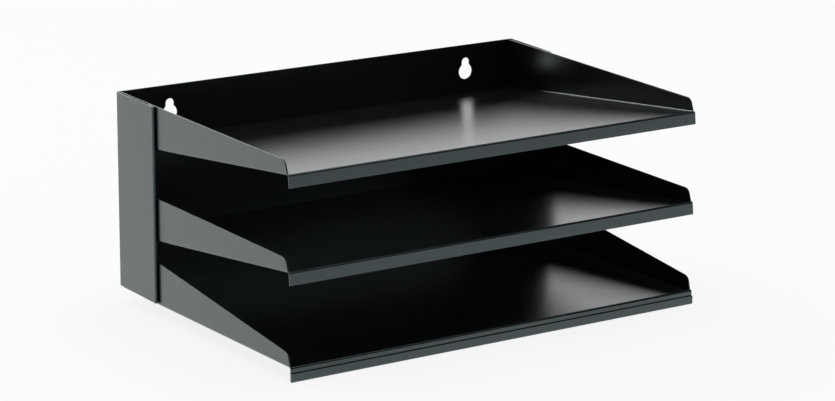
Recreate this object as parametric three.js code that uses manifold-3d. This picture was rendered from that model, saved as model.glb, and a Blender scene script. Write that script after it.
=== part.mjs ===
// Three-tier rack for medical charts and letter-size papers, for a desk or a wall.
// It is folded sheet steel: a U-shaped back panel holds three trays between its side flanges.
// Units are millimetres. +Z is up, +X is to the right and the open front faces -Y.
// The origin lies on the desk, under the middle of the rack.

import * as THREE from 'three';
import { mergeVertices } from 'three/addons/utils/BufferGeometryUtils.js';
import Module from 'manifold-3d';

// Driving dimensions of the sheet and its folds
const SHEET = 0.9;
const BEND_INSIDE = 0.4;
const BEND_STEPS = 8;
const GAP = 0.3;

// Driving dimensions of the back panel
const PANEL_WIDTH = 305;
const PANEL_HEIGHT = 126.4;
const PANEL_ABOVE_TRAY = 2.4;
const SKIRT_INSET = 6;
const FLANGE_DEPTH = 46.6;
const FLANGE_FALL = 1.1;
const HEM_RETURN = 7;
const HEM_OPENING = 0.2;

// Driving dimensions of the keyholes, which hang the rack on two screws
const KEYHOLE_SPACING = 228.6;
const KEYHOLE_ROUND_RADIUS = 5.3;
const KEYHOLE_SLOT_RADIUS = 3;
const KEYHOLE_RISE = 6.4;
const KEYHOLE_BELOW_TOP = 18.3;

// Driving dimensions of a tray
const TRAY_DEPTH = 203;
const LIP_DROP = 7.4;
const LIP_HEM_RETURN = 4.6;
const WING_REAR_HEIGHT = 33.3;
const WING_FRONT_HEIGHT = 9.1;
const WING_FRONT_SETBACK = 3.5;
const WING_CORNER_ROUND = 3.5;
const RELIEF_SLIT = 0.3;

// Where the trays sit: the upper two lean back, so that charts slide to the rear
const UPPER_TILT = THREE.MathUtils.degToRad(6.1);
const MIDDLE_ABOVE_BOTTOM = 36.4;
const TOP_ABOVE_MIDDLE = 58.7;

// Driving dimensions of the rear feet
const FOOT_RADIUS = 6.5;
const FOOT_TAPER = 0.8;
const FOOT_ROUND = 1;
const FOOT_INSET = 32;
const FOOT_FROM_REAR = 24;

// Sizes that follow
const BEND_OUTSIDE = BEND_INSIDE + SHEET;
const HEM_THICKNESS = 2 * SHEET + HEM_OPENING;
const TRAY_WIDTH = PANEL_WIDTH - 2 * (HEM_THICKNESS + GAP);
const TRAY_REAR_Y = -(SHEET + GAP);
const BOTTOM_TRAY_Z = LIP_DROP + HEM_THICKNESS / 2;
const MIDDLE_TRAY_Z = BOTTOM_TRAY_Z + MIDDLE_ABOVE_BOTTOM;
const TOP_TRAY_Z = MIDDLE_TRAY_Z + TOP_ABOVE_MIDDLE;
const PANEL_BOTTOM_Z = BOTTOM_TRAY_Z + PANEL_ABOVE_TRAY;
const RACK_DEPTH = -TRAY_REAR_Y + TRAY_DEPTH + HEM_OPENING + SHEET;

const QUARTER_TURN = 90;
const HALF_TURN = 180;
const CUT_MARGIN = 1;
const CURVE_SEGMENTS = 10;

const wasm = await Module();
wasm.setup();

// Closed solid from a closed geometry, for joining and cutting
function toSolid(geometry) {
  const bare = geometry.clone();
  bare.deleteAttribute('normal');
  bare.deleteAttribute('uv');
  const merged = mergeVertices(bare);
  const vertProperties = new Float32Array(merged.attributes.position.array);
  const triVerts = new Uint32Array(merged.index.array);
  return new wasm.Manifold(new wasm.Mesh({ numProp: 3, vertProperties, triVerts }));
}

// Flat-shaded geometry from a solid
function toGeometry(solid) {
  const mesh = solid.getMesh();
  const indexed = new THREE.BufferGeometry();
  indexed.setAttribute('position', new THREE.BufferAttribute(mesh.vertProperties, 3));
  indexed.setIndex(new THREE.BufferAttribute(mesh.triVerts, 1));
  const geometry = indexed.toNonIndexed();
  geometry.computeVertexNormals();
  return geometry;
}

// Section of a folded sheet, drawn as a path along its middle that runs straight and turns.
// A move is { run: length } or { turn: degrees, inside: bend radius }. Left turns are positive.
function foldedSection(start, headingDegrees, thickness, moves) {
  const leftSide = [];
  const rightSide = [];
  const here = start.clone();
  let heading = THREE.MathUtils.degToRad(headingDegrees);
  const leftNormal = () => new THREE.Vector2(-Math.sin(heading), Math.cos(heading));
  const addPair = () => {
    leftSide.push(here.clone().addScaledVector(leftNormal(), thickness / 2));
    rightSide.push(here.clone().addScaledVector(leftNormal(), -thickness / 2));
  };
  addPair();
  for (const move of moves) {
    if (move.run !== undefined) {
      here.x += move.run * Math.cos(heading);
      here.y += move.run * Math.sin(heading);
      addPair();
      continue;
    }
    const reach = Math.sign(move.turn) * (move.inside + thickness / 2);
    const centre = here.clone().addScaledVector(leftNormal(), reach);
    const steps = Math.ceil((BEND_STEPS * Math.abs(move.turn)) / QUARTER_TURN);
    for (let step = 0; step < steps; step += 1) {
      heading += THREE.MathUtils.degToRad(move.turn) / steps;
      here.copy(centre).addScaledVector(leftNormal(), -reach);
      addPair();
    }
  }
  return new THREE.Shape([...leftSide, ...rightSide.reverse()]);
}

function extrude(shape, depth) {
  return new THREE.ExtrudeGeometry(shape, { depth, bevelEnabled: false, curveSegments: CURVE_SEGMENTS });
}

// Prism of an outline drawn across the rack and up, reaching forward from y = 0
function forwardPrism(shape, depth) {
  return extrude(shape, depth).rotateX(Math.PI / 2);
}

// Prism of an outline drawn forward and up, as seen from the side, centred on x = 0
function sidewaysPrism(shape, width) {
  const forward = new THREE.Vector3(0, -1, 0);
  const up = new THREE.Vector3(0, 0, 1);
  const across = new THREE.Vector3(-1, 0, 0);
  const turn = new THREE.Matrix4().makeBasis(forward, up, across);
  return extrude(shape, width).applyMatrix4(turn).translate(width / 2, 0, 0);
}

// Round hole with a narrower slot above it, centred on the round hole
function keyholeOutline() {
  const meetHeight = Math.sqrt(KEYHOLE_ROUND_RADIUS ** 2 - KEYHOLE_SLOT_RADIUS ** 2);
  const meetAngle = Math.atan2(meetHeight, KEYHOLE_SLOT_RADIUS);
  const outline = new THREE.Shape();
  outline.moveTo(KEYHOLE_SLOT_RADIUS, meetHeight);
  outline.lineTo(KEYHOLE_SLOT_RADIUS, KEYHOLE_RISE);
  outline.absarc(0, KEYHOLE_RISE, KEYHOLE_SLOT_RADIUS, 0, Math.PI, false);
  outline.lineTo(-KEYHOLE_SLOT_RADIUS, meetHeight);
  outline.absarc(0, 0, KEYHOLE_ROUND_RADIUS, Math.PI - meetAngle, 2 * Math.PI + meetAngle, false);
  return outline;
}

// Side view of the back panel: the upper and lower edges of its flanges fall a little to the front
function panelOutline() {
  const front = FLANGE_DEPTH + CUT_MARGIN;
  return new THREE.Shape([
    new THREE.Vector2(-CUT_MARGIN, 0),
    new THREE.Vector2(BEND_OUTSIDE, 0),
    new THREE.Vector2(front, -FLANGE_FALL),
    new THREE.Vector2(front, PANEL_HEIGHT - FLANGE_FALL),
    new THREE.Vector2(BEND_OUTSIDE, PANEL_HEIGHT),
    new THREE.Vector2(-CUT_MARGIN, PANEL_HEIGHT),
  ]);
}

// Lower edge of the back plate, which reaches down behind the bottom tray between the flanges
function panelSkirt() {
  const height = PANEL_ABOVE_TRAY + CUT_MARGIN;
  const skirt = new THREE.BoxGeometry(PANEL_WIDTH - 2 * SKIRT_INSET, SHEET, height);
  return toSolid(skirt.translate(0, -SHEET / 2, CUT_MARGIN - height / 2));
}

// Back plate with a flange folded forward at each side; the front edges are hemmed inwards
function backPanelGeometry() {
  const hemRadius = HEM_THICKNESS / 2;
  const flangeRun = FLANGE_DEPTH - BEND_OUTSIDE - hemRadius;
  const hemStart = new THREE.Vector2(
    -PANEL_WIDTH / 2 + HEM_THICKNESS - SHEET / 2,
    -FLANGE_DEPTH + hemRadius + HEM_RETURN,
  );
  const section = foldedSection(hemStart, -QUARTER_TURN, SHEET, [
    { run: HEM_RETURN },
    { turn: -HALF_TURN, inside: HEM_OPENING / 2 },
    { run: flangeRun },
    { turn: -QUARTER_TURN, inside: BEND_INSIDE },
    { run: PANEL_WIDTH - 2 * BEND_OUTSIDE },
    { turn: -QUARTER_TURN, inside: BEND_INSIDE },
    { run: flangeRun },
    { turn: -HALF_TURN, inside: HEM_OPENING / 2 },
    { run: HEM_RETURN },
  ]);
  const folded = toSolid(extrude(section, PANEL_HEIGHT + FLANGE_FALL).translate(0, 0, -FLANGE_FALL));
  const trim = toSolid(sidewaysPrism(panelOutline(), PANEL_WIDTH + 2 * CUT_MARGIN));
  let panel = folded.intersect(trim).add(panelSkirt());
  const cutter = forwardPrism(keyholeOutline(), SHEET + 2 * CUT_MARGIN);
  for (const side of [-1, 1]) {
    const keyhole = cutter.clone().translate(
      (side * KEYHOLE_SPACING) / 2,
      CUT_MARGIN,
      PANEL_HEIGHT - KEYHOLE_BELOW_TOP,
    );
    panel = panel.subtract(toSolid(keyhole));
  }
  return toGeometry(panel);
}

// Floor with a wing folded up at each side, before its ends are trimmed
function trayChannel() {
  const wingRun = WING_REAR_HEIGHT + CUT_MARGIN;
  const wingTop = new THREE.Vector2(-TRAY_WIDTH / 2 + SHEET / 2, BEND_OUTSIDE + wingRun);
  const section = foldedSection(wingTop, -QUARTER_TURN, SHEET, [
    { run: wingRun },
    { turn: QUARTER_TURN, inside: BEND_INSIDE },
    { run: TRAY_WIDTH - 2 * BEND_OUTSIDE },
    { turn: QUARTER_TURN, inside: BEND_INSIDE },
    { run: wingRun },
  ]);
  return toSolid(forwardPrism(section, TRAY_DEPTH));
}

// Side view of a tray: the rear edge stands upright once the tray leans back by the tilt,
// the top edge falls to the front and the front corner is rounded and set back
function wingOutline(tilt) {
  const rearAt = (height) => new THREE.Vector2(height * Math.tan(tilt), height);
  const rearTop = rearAt(WING_REAR_HEIGHT);
  const corner = new THREE.Vector2(TRAY_DEPTH - WING_FRONT_SETBACK, WING_FRONT_HEIGHT);
  const frontFoot = new THREE.Vector2(TRAY_DEPTH - BEND_OUTSIDE, 0);
  const beforeCorner = frontFoot.clone().sub(corner).setLength(WING_CORNER_ROUND).add(corner);
  const afterCorner = rearTop.clone().sub(corner).setLength(WING_CORNER_ROUND).add(corner);
  const outline = new THREE.Shape([rearAt(-CUT_MARGIN), new THREE.Vector2(frontFoot.x, -CUT_MARGIN)]);
  outline.lineTo(frontFoot.x, frontFoot.y);
  outline.lineTo(beforeCorner.x, beforeCorner.y);
  outline.quadraticCurveTo(corner.x, corner.y, afterCorner.x, afterCorner.y);
  outline.lineTo(rearTop.x, rearTop.y);
  return outline;
}

// Front lip folded down from the floor; a hemmed one is folded up again in front of itself
function trayLip(hemmed) {
  const start = new THREE.Vector2(TRAY_DEPTH - BEND_OUTSIDE - RELIEF_SLIT, SHEET / 2);
  const drop = [
    { run: RELIEF_SLIT },
    { turn: -QUARTER_TURN, inside: BEND_INSIDE },
    { run: LIP_DROP - BEND_INSIDE },
  ];
  const hem = [{ turn: HALF_TURN, inside: HEM_OPENING / 2 }, { run: LIP_HEM_RETURN }];
  const section = foldedSection(start, 0, SHEET, hemmed ? [...drop, ...hem] : drop);
  return toSolid(sidewaysPrism(section, TRAY_WIDTH));
}

// Fine slit at a front corner that parts the wing's bend from the lip's bend
function reliefSlit(side) {
  const width = BEND_OUTSIDE + CUT_MARGIN;
  const slit = new THREE.BoxGeometry(width, RELIEF_SLIT, 2 * WING_REAR_HEIGHT);
  const x = side * (TRAY_WIDTH / 2 - BEND_OUTSIDE + width / 2);
  const y = -(TRAY_DEPTH - BEND_OUTSIDE - RELIEF_SLIT / 2);
  return toSolid(slit.translate(x, y, 0));
}

// One tray, its floor level and its rear lower edge on the X axis
function trayGeometry(tilt, hemmed) {
  const trim = toSolid(sidewaysPrism(wingOutline(tilt), PANEL_WIDTH));
  const folded = trayChannel().intersect(trim).add(trayLip(hemmed));
  const slitted = folded.subtract(reliefSlit(-1)).subtract(reliefSlit(1));
  return toGeometry(slitted);
}

// Stick-on rubber foot, slightly narrower at the desk, with a rounded lower rim
function footGeometry() {
  const lowerRadius = FOOT_RADIUS - FOOT_TAPER;
  const profile = new THREE.Path();
  profile.moveTo(0, 0);
  profile.lineTo(lowerRadius - FOOT_ROUND, 0);
  profile.absarc(lowerRadius - FOOT_ROUND, FOOT_ROUND, FOOT_ROUND, -Math.PI / 2, 0, false);
  profile.lineTo(FOOT_RADIUS, BOTTOM_TRAY_Z);
  profile.lineTo(0, BOTTOM_TRAY_Z);
  const roundSegments = 32;
  const rimDivisions = 3;
  return new THREE.LatheGeometry(profile.getPoints(rimDivisions), roundSegments).rotateX(Math.PI / 2);
}

function blackEnamel() {
  return new THREE.MeshStandardMaterial({ color: 0x1b1e20, roughness: 0.32, metalness: 0.1 });
}

function blackRubber() {
  return new THREE.MeshStandardMaterial({ color: 0x141414, roughness: 0.8, metalness: 0 });
}

function addPiece(name, geometry, material, y, z) {
  const piece = new THREE.Mesh(geometry, material);
  piece.name = name;
  piece.position.set(0, y, z);
  rack.add(piece);
  return piece;
}

const rack = new THREE.Group();
rack.position.y = RACK_DEPTH / 2;

addPiece('back_panel', backPanelGeometry(), blackEnamel(), 0, PANEL_BOTTOM_Z);

const trays = [
  { name: 'top_tray', height: TOP_TRAY_Z, tilt: UPPER_TILT, hemmed: false },
  { name: 'middle_tray', height: MIDDLE_TRAY_Z, tilt: UPPER_TILT, hemmed: false },
  { name: 'bottom_tray', height: BOTTOM_TRAY_Z, tilt: 0, hemmed: true },
];
for (const { name, height, tilt, hemmed } of trays) {
  const tray = addPiece(name, trayGeometry(tilt, hemmed), blackEnamel(), TRAY_REAR_Y, height);
  tray.rotation.x = -tilt;
}

for (const [name, side] of [['rear_foot_left', -1], ['rear_foot_right', 1]]) {
  const foot = addPiece(name, footGeometry(), blackRubber(), -FOOT_FROM_REAR, 0);
  foot.position.x = side * (PANEL_WIDTH / 2 - FOOT_INSET);
}

export default rack;
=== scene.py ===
import math

import bmesh
import bpy
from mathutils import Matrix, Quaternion, Vector


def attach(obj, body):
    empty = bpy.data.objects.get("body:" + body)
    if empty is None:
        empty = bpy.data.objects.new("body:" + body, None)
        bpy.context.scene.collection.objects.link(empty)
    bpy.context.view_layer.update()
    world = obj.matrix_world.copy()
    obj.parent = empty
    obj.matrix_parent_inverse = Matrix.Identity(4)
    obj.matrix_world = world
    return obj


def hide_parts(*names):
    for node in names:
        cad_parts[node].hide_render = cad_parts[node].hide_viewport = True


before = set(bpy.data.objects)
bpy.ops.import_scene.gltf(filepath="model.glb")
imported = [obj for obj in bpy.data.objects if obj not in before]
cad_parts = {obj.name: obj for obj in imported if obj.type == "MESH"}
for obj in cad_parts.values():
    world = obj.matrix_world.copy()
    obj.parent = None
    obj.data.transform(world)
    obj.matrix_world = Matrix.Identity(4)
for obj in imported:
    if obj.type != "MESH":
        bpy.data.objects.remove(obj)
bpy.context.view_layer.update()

# The photograph's camera: where it looks, from where, and how long its lens is
VIEW_TARGET = Vector((0.0013, -0.0088, 0.0690))
VIEW_AZIMUTH = math.radians(-33.94)
VIEW_ELEVATION = math.radians(14.63)
VIEW_ROLL = math.radians(0.24)
VIEW_DISTANCE = 1.997
SENSOR_WIDTH_MM = 36.0
LENS_MM = 136.3

# The rack's pieces by finish
ENAMEL_NODES = ("back_panel", "top_tray", "middle_tray", "bottom_tray")
FOOT_NODES = ("rear_foot_left", "rear_foot_right")

# Finish of the edges: sheared steel softened by the paint, and moulded rubber
SHEET_EDGE_ROUND = 0.0002
FOOT_EDGE_ROUND = 0.0003
EDGE_SEGMENTS = 3
SHARP_EDGE = math.radians(30)

# How close points and faces of a mesh have to be to become one
SAME_POINT = 1e-6
SAME_PLANE = math.radians(0.5)

# Enamel and its clear coat bend light alike
ENAMEL_IOR = 1.5

# The stretches of a noise's values that a roughness and a colour are spread over
ROUGHNESS_STRETCH = (0.3, 0.7)
COLOUR_STRETCH = (0.35, 0.65)

# The table's paint, the share of plain white it is seen with, and the backdrop's strength as a light
FLOOR_SIZE = 12.0
FLOOR_TONE = 0.86
FLOOR_WHITE_SHARE = 0.85
FILL_LEVEL = 0.4

# Black cards around the table, which leave the white backdrop open behind it and to its right
CARD_REACH = 2.4
CARD_TOP = 2.4
CARD_TONE = 0.01
FRONT_CARD_BOTTOM = 0.12
BACKDROP_LEFT_END = -0.6
BACKDROP_TOP = 1.25

# The lamps point at the middle of the rack
LAMP_AIM = Vector((0, 0, 0.07))


def add_object(name, data):
    obj = bpy.data.objects.new(name, data)
    bpy.context.scene.collection.objects.link(obj)
    return obj


def add_rectangle(name, corners, material):
    mesh = bpy.data.meshes.new(name)
    mesh.from_pydata(corners, [], [(0, 1, 2, 3)])
    mesh.materials.append(material)
    return add_object(name, mesh)


def rounded_copy(node, edge_round):
    """The CAD node's mesh with its flat faces made whole and its sharp edges rounded."""
    shape = bmesh.new()
    shape.from_mesh(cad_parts[node].data)
    bmesh.ops.remove_doubles(shape, verts=shape.verts, dist=SAME_POINT)
    bmesh.ops.dissolve_limit(shape, angle_limit=SAME_PLANE, verts=shape.verts, edges=shape.edges)
    sharp = [edge for edge in shape.edges if edge.is_manifold and edge.calc_face_angle() > SHARP_EDGE]
    # Clamping would hold back every edge to what the narrowest slit has room for
    bmesh.ops.bevel(
        shape,
        geom=sharp,
        offset=edge_round,
        offset_type="OFFSET",
        segments=EDGE_SEGMENTS,
        profile=0.5,
        affect="EDGES",
        clamp_overlap=False,
    )
    for face in shape.faces:
        face.smooth = True
    mesh = bpy.data.meshes.new(node + "_finish")
    shape.to_mesh(mesh)
    shape.free()
    return mesh


def add_finished_piece(node, edge_round, material):
    """A piece that stands for a CAD node: the same form with softened edges and its finish."""
    piece = add_object(node + "_finish", rounded_copy(node, edge_round))
    piece.data.materials.append(material)
    normals = piece.modifiers.new("even_shading", "WEIGHTED_NORMAL")
    normals.keep_sharp = False
    normals.weight = 100
    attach(piece, "root")
    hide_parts(node)


def new_material(name):
    """A node material, with its node tree and its main shader."""
    material = bpy.data.materials.new(name)
    material.use_nodes = True
    tree = material.node_tree
    return material, tree, tree.nodes["Principled BSDF"]


def add_noise(tree, coordinates, scale, detail):
    noise = tree.nodes.new("ShaderNodeTexNoise")
    noise.inputs["Scale"].default_value = scale
    noise.inputs["Detail"].default_value = detail
    tree.links.new(coordinates.outputs["Object"], noise.inputs["Vector"])
    return noise


def spread_roughness(tree, shader, noise, low, high):
    spread = tree.nodes.new("ShaderNodeMapRange")
    spread.inputs["From Min"].default_value = ROUGHNESS_STRETCH[0]
    spread.inputs["From Max"].default_value = ROUGHNESS_STRETCH[1]
    spread.inputs["To Min"].default_value = low
    spread.inputs["To Max"].default_value = high
    tree.links.new(noise.outputs["Fac"], spread.inputs["Value"])
    tree.links.new(spread.outputs["Result"], shader.inputs["Roughness"])


def spread_colour(tree, shader, noise, low, high):
    ramp = tree.nodes.new("ShaderNodeValToRGB")
    for element, position, colour in zip(ramp.color_ramp.elements, COLOUR_STRETCH, (low, high)):
        element.position = position
        element.color = (*colour, 1)
    tree.links.new(noise.outputs["Fac"], ramp.inputs["Fac"])
    tree.links.new(ramp.outputs["Color"], shader.inputs["Base Color"])


def add_bump(tree, shader, noise, strength, distance):
    bump = tree.nodes.new("ShaderNodeBump")
    bump.inputs["Strength"].default_value = strength
    bump.inputs["Distance"].default_value = distance
    tree.links.new(noise.outputs["Fac"], bump.inputs["Height"])
    tree.links.new(bump.outputs["Normal"], shader.inputs["Normal"])


def black_enamel():
    """Baked black enamel with a clear gloss: slight orange peel and an uneven sheen."""
    material, tree, shader = new_material("black_enamel")
    coordinates = tree.nodes.new("ShaderNodeTexCoord")
    tone = add_noise(tree, coordinates, scale=14, detail=3)
    sheen = add_noise(tree, coordinates, scale=45, detail=4)
    peel = add_noise(tree, coordinates, scale=420, detail=2)
    spread_colour(tree, shader, tone, low=(0.0035, 0.0040, 0.0043), high=(0.0055, 0.0063, 0.0067))
    spread_roughness(tree, shader, sheen, low=0.24, high=0.27)
    add_bump(tree, shader, peel, strength=0.12, distance=0.00004)
    shader.inputs["IOR"].default_value = ENAMEL_IOR
    shader.inputs["Specular Tint"].default_value = (0.55, 0.95, 1.0, 1)
    shader.inputs["Coat Weight"].default_value = 1.0
    shader.inputs["Coat Roughness"].default_value = 0.25
    shader.inputs["Coat IOR"].default_value = ENAMEL_IOR
    return material


def black_rubber():
    """Matt rubber with a fine grain."""
    material, tree, shader = new_material("black_rubber")
    coordinates = tree.nodes.new("ShaderNodeTexCoord")
    grain = add_noise(tree, coordinates, scale=1500, detail=4)
    tone = add_noise(tree, coordinates, scale=220, detail=3)
    spread_colour(tree, shader, tone, low=(0.012, 0.012, 0.012), high=(0.022, 0.022, 0.021))
    spread_roughness(tree, shader, tone, low=0.72, high=0.86)
    add_bump(tree, shader, grain, strength=0.25, distance=0.00008)
    return material


def seen_as_background(tree):
    """1 for rays that should see plain white: the camera's, mirror-like and transmitted ones."""
    path = tree.nodes.new("ShaderNodeLightPath")
    camera_or_glossy = tree.nodes.new("ShaderNodeMath")
    camera_or_glossy.operation = "ADD"
    tree.links.new(path.outputs["Is Camera Ray"], camera_or_glossy.inputs[0])
    tree.links.new(path.outputs["Is Glossy Ray"], camera_or_glossy.inputs[1])
    any_of_them = tree.nodes.new("ShaderNodeMath")
    any_of_them.operation = "ADD"
    any_of_them.use_clamp = True
    tree.links.new(camera_or_glossy.outputs["Value"], any_of_them.inputs[0])
    tree.links.new(path.outputs["Is Transmission Ray"], any_of_them.inputs[1])
    return any_of_them.outputs["Value"]


def matt_paint(shader, tone, roughness):
    """Plain paint without gloss, for the stage."""
    shader.inputs["Base Color"].default_value = (tone, tone, tone, 1)
    shader.inputs["Roughness"].default_value = roughness
    shader.inputs["Specular IOR Level"].default_value = 0.0


def pale_floor_material():
    """Pale table that reads as white but keeps a faint shadow."""
    material, tree, shader = new_material("pale_floor")
    matt_paint(shader, FLOOR_TONE, roughness=0.9)
    white = tree.nodes.new("ShaderNodeEmission")
    white.inputs["Strength"].default_value = 1.0
    share = tree.nodes.new("ShaderNodeMath")
    share.operation = "MULTIPLY"
    share.inputs[1].default_value = FLOOR_WHITE_SHARE
    tree.links.new(seen_as_background(tree), share.inputs[0])
    mix = tree.nodes.new("ShaderNodeMixShader")
    tree.links.new(share.outputs["Value"], mix.inputs["Fac"])
    tree.links.new(shader.outputs["BSDF"], mix.inputs[1])
    tree.links.new(white.outputs["Emission"], mix.inputs[2])
    tree.links.new(mix.outputs["Shader"], tree.nodes["Material Output"].inputs["Surface"])
    return material


def black_card_material():
    material, _, shader = new_material("black_card")
    matt_paint(shader, CARD_TONE, roughness=1.0)
    return material


def add_rack():
    enamel = black_enamel()
    for node in ENAMEL_NODES:
        add_finished_piece(node, SHEET_EDGE_ROUND, enamel)
    rubber = black_rubber()
    for node in FOOT_NODES:
        add_finished_piece(node, FOOT_EDGE_ROUND, rubber)


def add_floor():
    half = FLOOR_SIZE / 2
    corners = [(-half, -half, 0), (half, -half, 0), (half, half, 0), (-half, half, 0)]
    floor = add_rectangle("floor", corners, pale_floor_material())


def add_world():
    """White backdrop, seen and mirrored at full strength and softer as a light."""
    world = bpy.data.worlds.new("studio")
    world.use_nodes = True
    tree = world.node_tree
    backdrop = tree.nodes["Background"]
    backdrop.inputs["Color"].default_value = (1, 1, 1, 1)
    level = tree.nodes.new("ShaderNodeMath")
    level.operation = "MAXIMUM"
    level.inputs[1].default_value = FILL_LEVEL
    tree.links.new(seen_as_background(tree), level.inputs[0])
    tree.links.new(level.outputs["Value"], backdrop.inputs["Strength"])
    bpy.context.scene.world = world


def upright(start, end, bottom, top):
    """Corners of an upright rectangle over a line on the floor."""
    return [(*start, bottom), (*end, bottom), (*end, top), (*start, top)]


def add_black_cards():
    """Cards that only the gloss sees: in it the rack stands in a dark room with a white backdrop."""
    front_left, front_right = (-CARD_REACH, -CARD_REACH), (CARD_REACH, -CARD_REACH)
    rear_left, rear_right = (-CARD_REACH, CARD_REACH), (CARD_REACH, CARD_REACH)
    backdrop_end = (BACKDROP_LEFT_END, CARD_REACH)
    ring = (front_left, front_right, rear_right, rear_left)
    cards = {
        "front_card": upright(front_left, front_right, FRONT_CARD_BOTTOM, CARD_TOP),
        "left_card": upright(rear_left, front_left, 0, CARD_TOP),
        "rear_card": upright(backdrop_end, rear_left, 0, CARD_TOP),
        "over_backdrop_card": upright(rear_right, backdrop_end, BACKDROP_TOP, CARD_TOP),
        "right_card": upright(front_right, rear_right, BACKDROP_TOP, CARD_TOP),
        "ceiling_card": [(*corner, CARD_TOP) for corner in ring],
    }
    material = black_card_material()
    for name, corners in cards.items():
        card = add_rectangle(name, corners, material)
        card.visible_camera = False
        card.visible_diffuse = False
        card.visible_shadow = False


def add_softbox(name, location, size, power):
    """A wide lamp that lights the rack but stays out of the picture."""
    lamp = bpy.data.lights.new(name, "AREA")
    lamp.shape = "RECTANGLE"
    lamp.size, lamp.size_y = size
    lamp.energy = power
    softbox = add_object(name, lamp)
    softbox.location = location
    softbox.visible_camera = False
    softbox.rotation_mode = "QUATERNION"
    softbox.rotation_quaternion = (LAMP_AIM - Vector(location)).to_track_quat("-Z", "Y")


def add_lights():
    add_softbox("rear_softbox", location=(-0.6, 1.75, 1.15), size=(0.9, 0.6), power=10)
    add_softbox("top_softbox", location=(0.2, 0.1, 1.9), size=(1.6, 1.6), power=20)


def add_camera():
    data = bpy.data.cameras.new("photo_view")
    data.sensor_width = SENSOR_WIDTH_MM
    data.lens = LENS_MM
    camera = add_object("photo_view", data)
    across = math.cos(VIEW_ELEVATION)
    towards_camera = Vector((
        math.sin(VIEW_AZIMUTH) * across,
        -math.cos(VIEW_AZIMUTH) * across,
        math.sin(VIEW_ELEVATION),
    ))
    camera.location = VIEW_TARGET + towards_camera * VIEW_DISTANCE
    camera.rotation_mode = "QUATERNION"
    level_view = (-towards_camera).to_track_quat("-Z", "Y")
    camera.rotation_quaternion = level_view @ Quaternion((0, 0, 1), VIEW_ROLL)
    bpy.context.scene.camera = camera


add_rack()
add_floor()
add_world()
add_black_cards()
add_lights()
add_camera()
bpy.context.scene.view_settings.view_transform = "Standard"
